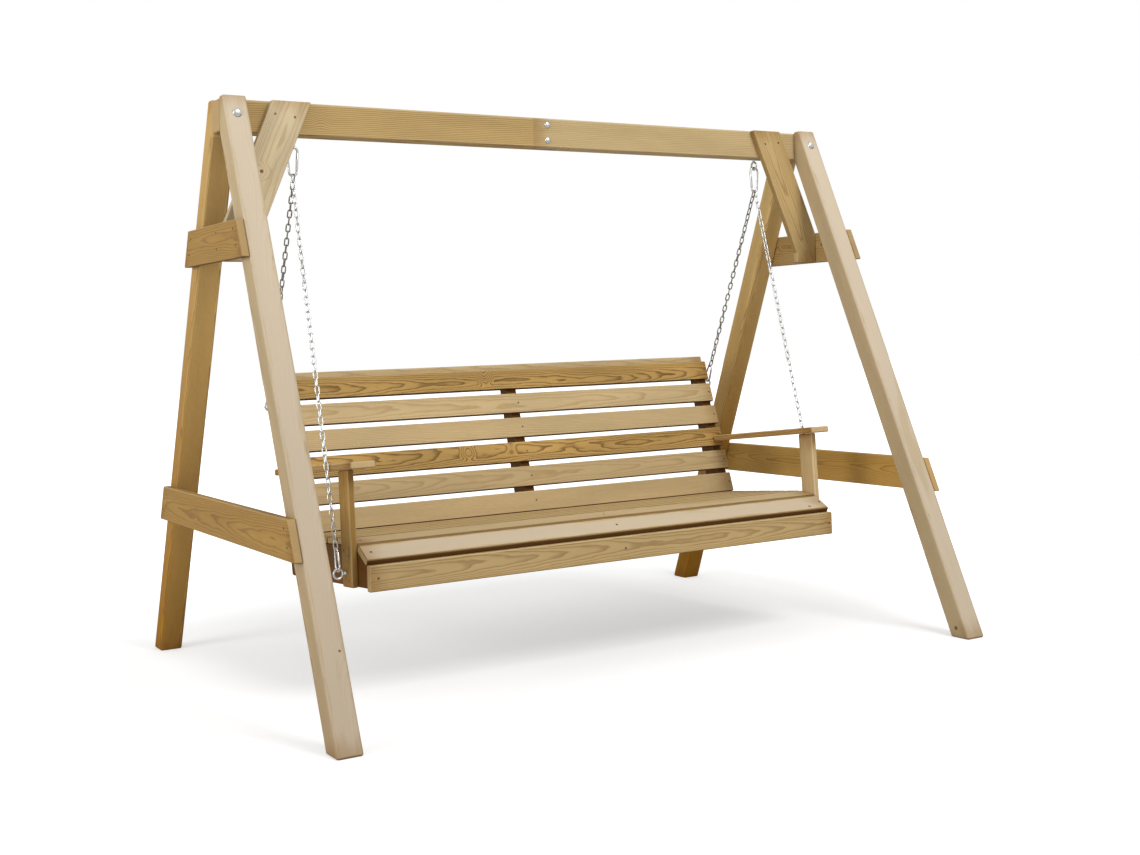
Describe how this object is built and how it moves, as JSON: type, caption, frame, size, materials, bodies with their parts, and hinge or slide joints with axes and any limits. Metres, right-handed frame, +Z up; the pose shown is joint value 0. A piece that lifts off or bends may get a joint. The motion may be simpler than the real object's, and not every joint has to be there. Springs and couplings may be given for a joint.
{
  "type": "garden swing chair",
  "caption": "Slatted timber garden bench with arms, hung on chains and snap hooks under a braced A-frame of square posts and a lapped beam.",
  "frame": {"origin": "on the ground under the middle of the beam", "axes": "+X along the beam to the right of someone who faces the bench, the bench faces -Y, +Z up"},
  "size_m": [2.2386, 1.6004, 1.713],
  "materials": {
    "wood_pale": "planed, pressure treated",
    "wood_olive": "planed, pressure treated",
    "wood_brown": "planed, pressure treated",
    "galvanised_steel": "zinc plated"
  },
  "bodies": {
    "frame": {"beam_left": "wood_olive", "beam_right": "wood_olive", "brace_left": "wood_pale", "brace_right": "wood_pale", "cross_board_lower_left": "wood_olive", "cross_board_lower_right": "wood_brown", "cross_board_upper_left": "wood_olive", "cross_board_upper_right": "wood_brown", "lap_bolt_lower": "galvanised_steel", "lap_bolt_upper": "galvanised_steel", "leg_bolt_left": "galvanised_steel", "leg_bolt_right": "galvanised_steel", "leg_front_left": "wood_pale", "leg_front_right": "wood_pale", "leg_rear_left": "wood_pale", "leg_rear_right": "wood_pale", "top_eye_left": "galvanised_steel", "top_eye_right": "galvanised_steel"},
    "bench": {"arm_post_left": "wood_olive", "arm_post_right": "wood_olive", "armrest_left": "wood_pale", "armrest_right": "wood_pale", "back_board_1": "wood_brown", "back_board_2": "wood_olive", "back_board_3": "wood_olive", "back_board_4": "wood_brown", "back_board_5": "wood_olive", "back_board_6": "wood_olive", "back_cap": "wood_pale", "back_upright_left": "wood_brown", "back_upright_middle": "wood_brown", "back_upright_right": "wood_brown", "bench_eye_front_left": "galvanised_steel", "bench_eye_front_right": "galvanised_steel", "bench_eye_rear_left": "galvanised_steel", "bench_eye_rear_right": "galvanised_steel", "chain_front_left": "galvanised_steel", "chain_front_right": "galvanised_steel", "chain_rear_left": "galvanised_steel", "chain_rear_right": "galvanised_steel", "fascia_board": "wood_pale", "seat_rail_left": "wood_olive", "seat_rail_middle": "wood_olive", "seat_rail_right": "wood_olive", "seat_slat_1": "wood_pale", "seat_slat_2": "wood_pale", "seat_slat_3": "wood_pale", "seat_slat_4": "wood_pale", "seat_slat_5": "wood_pale", "seat_slat_6": "wood_pale", "seat_slat_7": "wood_pale", "top_hook_left": "galvanised_steel", "top_hook_right": "galvanised_steel"},
    "gate_front_left": {"hook_gate_front_left": "galvanised_steel"},
    "gate_front_right": {"hook_gate_front_right": "galvanised_steel"},
    "gate_rear_left": {"hook_gate_rear_left": "galvanised_steel"},
    "gate_rear_right": {"hook_gate_rear_right": "galvanised_steel"},
    "gate_top_left": {"hook_gate_top_left": "galvanised_steel"},
    "gate_top_right": {"hook_gate_top_right": "galvanised_steel"}
  },
  "joints": [
    {"name": "swing", "type": "hinge", "parent": "frame", "child": "bench", "pos_m": [0, 0, 1.5818], "axis": [1, 0, 0], "range_deg": [-30, 30]},
    {"name": "gate_front_left_pin", "type": "hinge", "parent": "bench", "child": "gate_front_left", "pos_m": [-0.87415, -0.28459, 0.41502], "axis": [1, 0, -0.0033], "range_deg": [0, 25], "stiffness_Nm_per_rad": 0.02, "springref_deg": -28.65},
    {"name": "gate_front_right_pin", "type": "hinge", "parent": "bench", "child": "gate_front_right", "pos_m": [0.87415, -0.28459, 0.41502], "axis": [1, 0, 0.0033], "range_deg": [0, 25], "stiffness_Nm_per_rad": 0.02, "springref_deg": -28.65},
    {"name": "gate_rear_left_pin", "type": "hinge", "parent": "bench", "child": "gate_rear_left", "pos_m": [-0.85461, 0.2723, 0.85558], "axis": [0.9999, 0, 0.0169], "range_deg": [0, 25], "stiffness_Nm_per_rad": 0.02, "springref_deg": -28.65},
    {"name": "gate_rear_right_pin", "type": "hinge", "parent": "bench", "child": "gate_rear_right", "pos_m": [0.85461, 0.2723, 0.85558], "axis": [0.9999, 0, -0.0169], "range_deg": [0, 25], "stiffness_Nm_per_rad": 0.02, "springref_deg": -28.65},
    {"name": "gate_top_left_pin", "type": "hinge", "parent": "bench", "child": "gate_top_left", "pos_m": [-0.85608, 0, 1.51141], "axis": [0, -1, 0], "range_deg": [0, 25], "stiffness_Nm_per_rad": 0.02, "springref_deg": -28.65},
    {"name": "gate_top_right_pin", "type": "hinge", "parent": "bench", "child": "gate_top_right", "pos_m": [0.85608, 0, 1.51141], "axis": [0, 1, 0], "range_deg": [0, 25], "stiffness_Nm_per_rad": 0.02, "springref_deg": -28.65}
  ]
}
